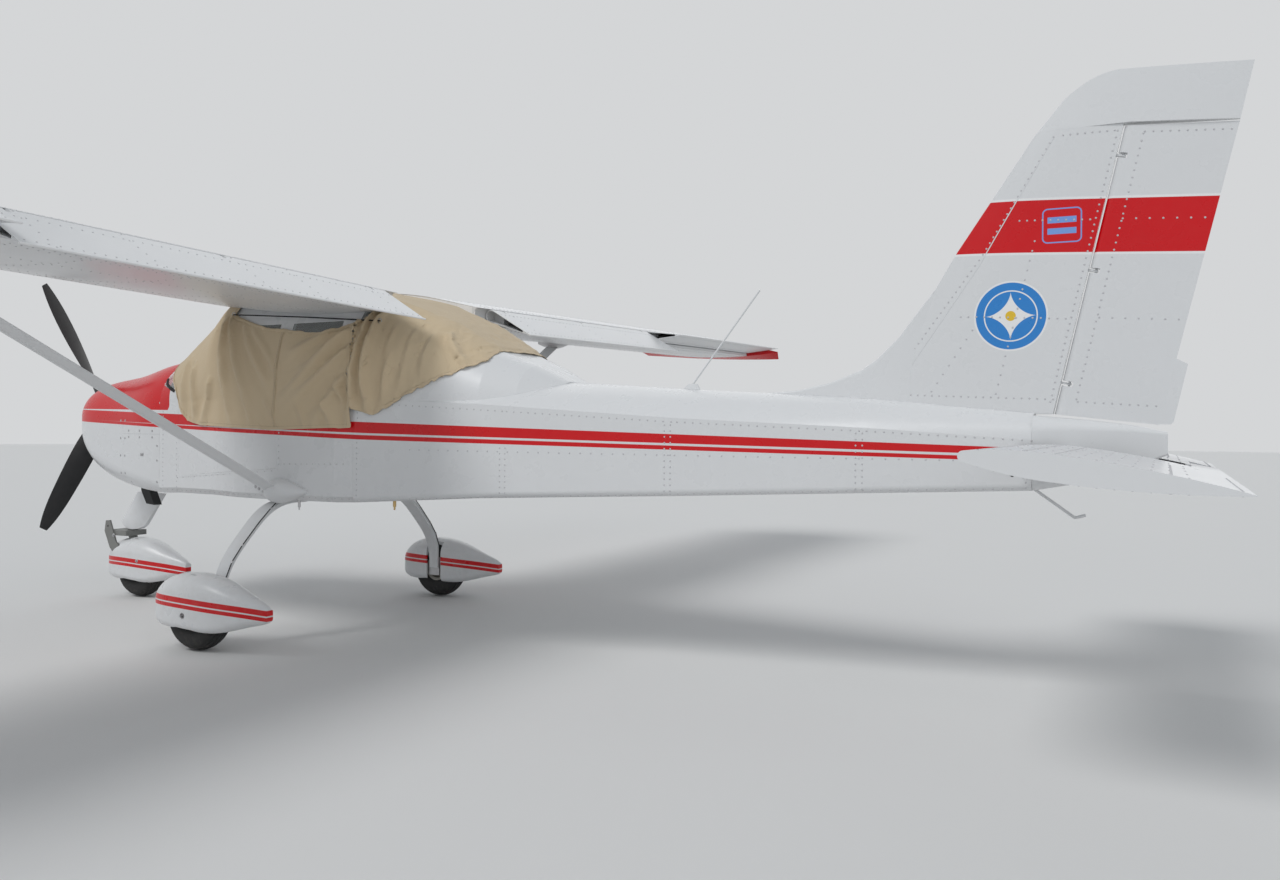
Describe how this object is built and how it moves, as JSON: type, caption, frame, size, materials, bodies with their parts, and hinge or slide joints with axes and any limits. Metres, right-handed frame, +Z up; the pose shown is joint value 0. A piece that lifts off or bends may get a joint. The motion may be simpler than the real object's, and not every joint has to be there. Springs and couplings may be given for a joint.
{
  "type": "ultralight aircraft",
  "caption": "High-wing two-seat light aircraft with strut-braced metal wing, tractor propeller, tricycle gear with spats and a canvas cover tied over the cabin.",
  "frame": {"origin": "on the ground, under the middle of the overall length, on the plane of symmetry", "axes": "+X aft, +Y to starboard, +Z up"},
  "size_m": [6.442, 9.3042, 2.475],
  "materials": {
    "white_paint": "gloss white paint on aluminium sheet",
    "white_composite": "gloss white moulded composite",
    "red_composite": "gloss red moulded composite",
    "black_blade": "matt black composite",
    "hub_metal": "grey anodised",
    "engine_metal": "plain cast block",
    "steel": "bare steel",
    "grey_paint": "satin grey paint on steel",
    "black_paint": "black heat-proof paint",
    "window": "clear",
    "canvas": "beige woven canvas",
    "tyre_rubber": "black rubber",
    "rim_paint": "light grey paint on alloy"
  },
  "bodies": {
    "airframe": {"nose_bowl": "white_composite", "cowl_upper": "white_composite", "cowl_lower": "white_composite", "firewall": "steel", "engine": "engine_metal", "engine_mount": "steel", "exhaust_stub": "black_paint", "windscreen": "window", "door_left": "white_paint", "door_right": "white_paint", "side_windows": "window", "cabin_shell": "white_paint", "wing_left": "white_paint", "wing_right": "white_paint", "surface_hinges": "steel", "wing_tips": "red_composite", "strut_left": "white_paint", "strut_right": "white_paint", "strut_fairings": "white_composite", "rear_fuselage": "white_paint", "rear_window": "window", "cabin_fairing": "white_composite", "tail_fairing": "white_composite", "fin": "white_paint", "dorsal_fillet": "white_composite", "rudder_hinges": "steel", "fin_cap": "white_composite", "tail_skid": "white_paint", "antenna": "white_composite", "main_leg_left": "white_paint", "main_leg_right": "white_paint", "main_axle_left": "steel", "main_axle_right": "steel", "spat_left": "white_composite", "spat_right": "white_composite", "nose_gear_mount": "steel", "canopy_cover": "canvas"},
    "propeller": {"propeller_blades": "black_blade", "propeller_hub": "hub_metal"},
    "nose_gear": {"nose_leg": "steel", "nose_leg_fairing": "white_composite", "nose_fork": "grey_paint", "spat_nose": "white_composite"},
    "nose_wheel": {"tyre_nose": "tyre_rubber", "rim_nose": "rim_paint"},
    "wheel_left": {"tyre_left": "tyre_rubber", "rim_left": "rim_paint"},
    "wheel_right": {"tyre_right": "tyre_rubber", "rim_right": "rim_paint"},
    "rudder": {"rudder": "white_paint", "rudder_tab": "white_paint"},
    "aileron_left": {"aileron_left": "white_paint"},
    "aileron_right": {"aileron_right": "white_paint"},
    "flap_left": {"flap_left": "white_paint"},
    "flap_right": {"flap_right": "white_paint"},
    "stabilator": {"stabilator": "white_paint"},
    "stabilator_tab": {"stabilator_tab": "white_paint"}
  },
  "joints": [
    {"name": "propeller_spin", "type": "hinge", "parent": "airframe", "child": "propeller", "pos_m": [-3.145, 0, 1.182], "axis": [1, 0, 0], "continuous": true},
    {"name": "nose_steering", "type": "hinge", "parent": "airframe", "child": "nose_gear", "pos_m": [-2.881, 0, 0.44], "axis": [0.606, 0, 0.7954], "range_deg": [-15, 15]},
    {"name": "nose_wheel_spin", "type": "hinge", "parent": "nose_gear", "child": "nose_wheel", "pos_m": [-2.806, 0, 0.178], "axis": [0, 1, 0], "continuous": true},
    {"name": "wheel_left_spin", "type": "hinge", "parent": "airframe", "child": "wheel_left", "pos_m": [-1.191, -0.93, 0.178], "axis": [0, 1, 0], "continuous": true},
    {"name": "wheel_right_spin", "type": "hinge", "parent": "airframe", "child": "wheel_right", "pos_m": [-1.191, 0.93, 0.178], "axis": [0, 1, 0], "continuous": true},
    {"name": "rudder_turn", "type": "hinge", "parent": "airframe", "child": "rudder", "pos_m": [2.57, 0, 1.138], "axis": [0.2092, 0, 0.9779], "range_deg": [-25, 25]},
    {"name": "aileron_right_turn", "type": "hinge", "parent": "airframe", "child": "aileron_right", "pos_m": [-0.49014, 3.49027, 1.77967], "axis": [0, 0.9997, 0.0236], "range_deg": [-12, 24]},
    {"name": "aileron_left_turn", "type": "hinge", "parent": "airframe", "child": "aileron_left", "pos_m": [-0.49014, -3.49027, 1.77967], "axis": [0, 0.9997, -0.0236], "range_deg": [-24, 12]},
    {"name": "flap_left_turn", "type": "hinge", "parent": "airframe", "child": "flap_left", "pos_m": [-0.49014, -1.44084, 1.73137], "axis": [0, 0.9997, -0.0236], "range_deg": [-18, 20]},
    {"name": "flap_right_turn", "type": "hinge", "parent": "airframe", "child": "flap_right", "pos_m": [-0.49014, 1.44084, 1.73137], "axis": [0, 0.9997, 0.0236], "range_deg": [-18, 20]},
    {"name": "stabilator_turn", "type": "hinge", "parent": "airframe", "child": "stabilator", "pos_m": [2.619, 0, 0.98], "axis": [0, 1, 0], "range_deg": [-22, 0]},
    {"name": "stabilator_tab_turn", "type": "hinge", "parent": "stabilator", "child": "stabilator_tab", "pos_m": [3.03091, 0, 0.92942], "axis": [0, 1, 0], "range_deg": [-15, 5]}
  ],
  "couplings": [
    {"joint": "aileron_left_turn", "follows": "aileron_right_turn", "ratio": -1},
    {"joint": "flap_right_turn", "follows": "flap_left_turn", "ratio": 1},
    {"joint": "stabilator_tab_turn", "follows": "stabilator_turn", "ratio": 0.5},
    {"joint": "nose_steering", "follows": "rudder_turn", "ratio": -0.6}
  ]
}
